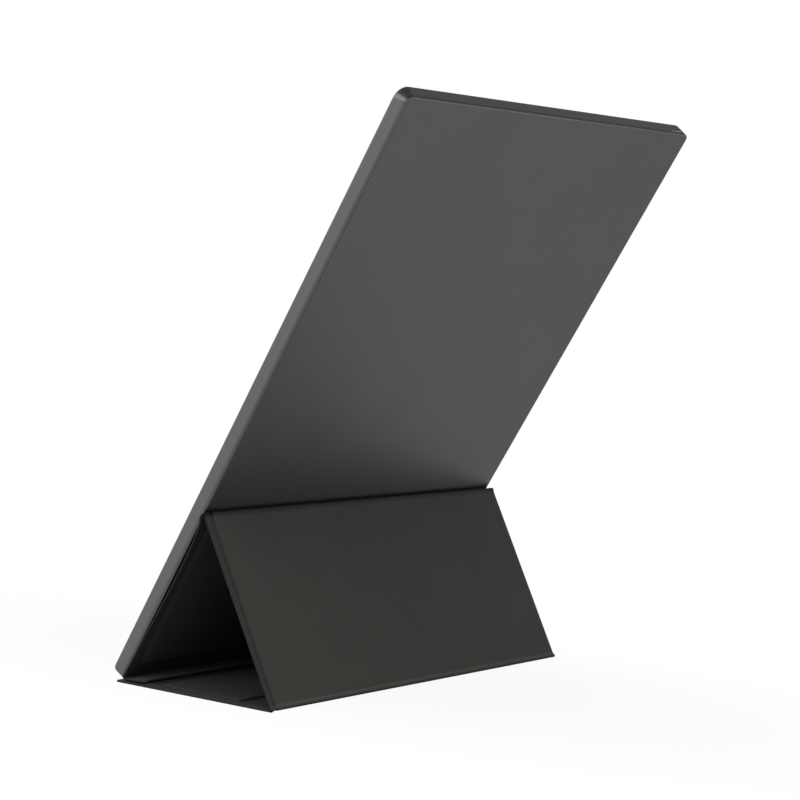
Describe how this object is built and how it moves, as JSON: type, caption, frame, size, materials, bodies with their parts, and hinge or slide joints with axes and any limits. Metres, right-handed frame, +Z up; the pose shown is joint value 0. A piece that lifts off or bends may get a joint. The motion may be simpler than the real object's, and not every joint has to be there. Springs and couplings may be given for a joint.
{
  "type": "portable monitor with cover",
  "caption": "Slim portable monitor standing in portrait on a tent folded from its own hinged cover, with a socket in its edge and buttons beside the screen.",
  "frame": {"origin": "middle of the floor panel's underside, on the table", "axes": "+Z up, +Y behind the screen, +X across the monitor's width"},
  "size_m": [0.229, 0.2109, 0.2995],
  "materials": {
    "housing": "fine blasted, dark grey anodised",
    "bezel": "fine matte",
    "screen_glass": "anti-glare, dark when off",
    "foam": "matte",
    "clear_plastic": "clear",
    "sheet_aluminium": "mill",
    "steel": "plated",
    "circuit": "solder mask",
    "black_plastic": "moulded",
    "cover_skin": "matte, fine pebbled grain",
    "cover_board": "plain",
    "cover_lining": "short-napped microfibre"
  },
  "bodies": {
    "front_panel": {"front_skin": "cover_skin", "front_board": "cover_board", "front_lining": "cover_lining", "front_magnets": "steel", "ridge_strip": "cover_skin", "foot_strip": "cover_skin"},
    "monitor": {"back_cover": "housing", "mid_frame": "housing", "front_bezel": "bezel", "lcd_panel": "screen_glass", "panel_gasket": "foam", "optical_films": "clear_plastic", "light_guide": "clear_plastic", "led_bar": "circuit", "backlight_tray": "sheet_aluminium", "tray_screws": "steel", "driver_board": "circuit", "panel_flexes": "circuit", "main_board": "circuit", "board_parts": "black_plastic", "usb_c_shell": "steel", "usb_c_tongue": "black_plastic", "key_board": "circuit", "key_switches": "black_plastic", "status_light": "clear_plastic", "keeper_plate": "steel"},
    "rear_panel": {"rear_skin": "cover_skin", "rear_board": "cover_board", "rear_lining": "cover_lining", "rear_strip": "cover_skin"},
    "floor_panel": {"floor_skin": "cover_skin", "floor_board": "cover_board", "floor_keeper": "steel", "floor_lining": "cover_lining"},
    "foot_flap": {"flap_skin": "cover_skin", "flap_board": "cover_board", "flap_lining": "cover_lining", "flap_magnets": "steel"},
    "power_button": {"power_button": "bezel"},
    "menu_button": {"menu_button": "bezel"}
  },
  "joints": [
    {"name": "monitor_lift", "type": "slide", "parent": "front_panel", "child": "monitor", "axis": [0, -0.8208, 0.5713], "range_m": [0, 0.06]},
    {"name": "ridge_fold", "type": "hinge", "parent": "front_panel", "child": "rear_panel", "pos_m": [0, 0.01038, 0.09708], "axis": [1, 0, 0], "range_deg": [0, 118.32]},
    {"name": "rear_fold", "type": "hinge", "parent": "rear_panel", "child": "floor_panel", "pos_m": [0, 0.0595, 0], "axis": [1, 0, 0], "range_deg": [0, 116.84]},
    {"name": "foot_fold", "type": "hinge", "parent": "front_panel", "child": "foot_flap", "pos_m": [0, -0.05587, 0.0019], "axis": [1, 0, 0], "range_deg": [0, 25]},
    {"name": "power_button", "type": "slide", "parent": "monitor", "child": "power_button", "axis": [0, 0.8208, -0.5713], "range_m": [0, 0.0004], "stiffness_N_per_m": 1500},
    {"name": "menu_button", "type": "slide", "parent": "monitor", "child": "menu_button", "axis": [0, 0.8208, -0.5713], "range_m": [0, 0.0004], "stiffness_N_per_m": 1500}
  ],
  "couplings": [
    {"joint": "rear_fold", "follows": "ridge_fold", "ratio": 0.98749}
  ]
}
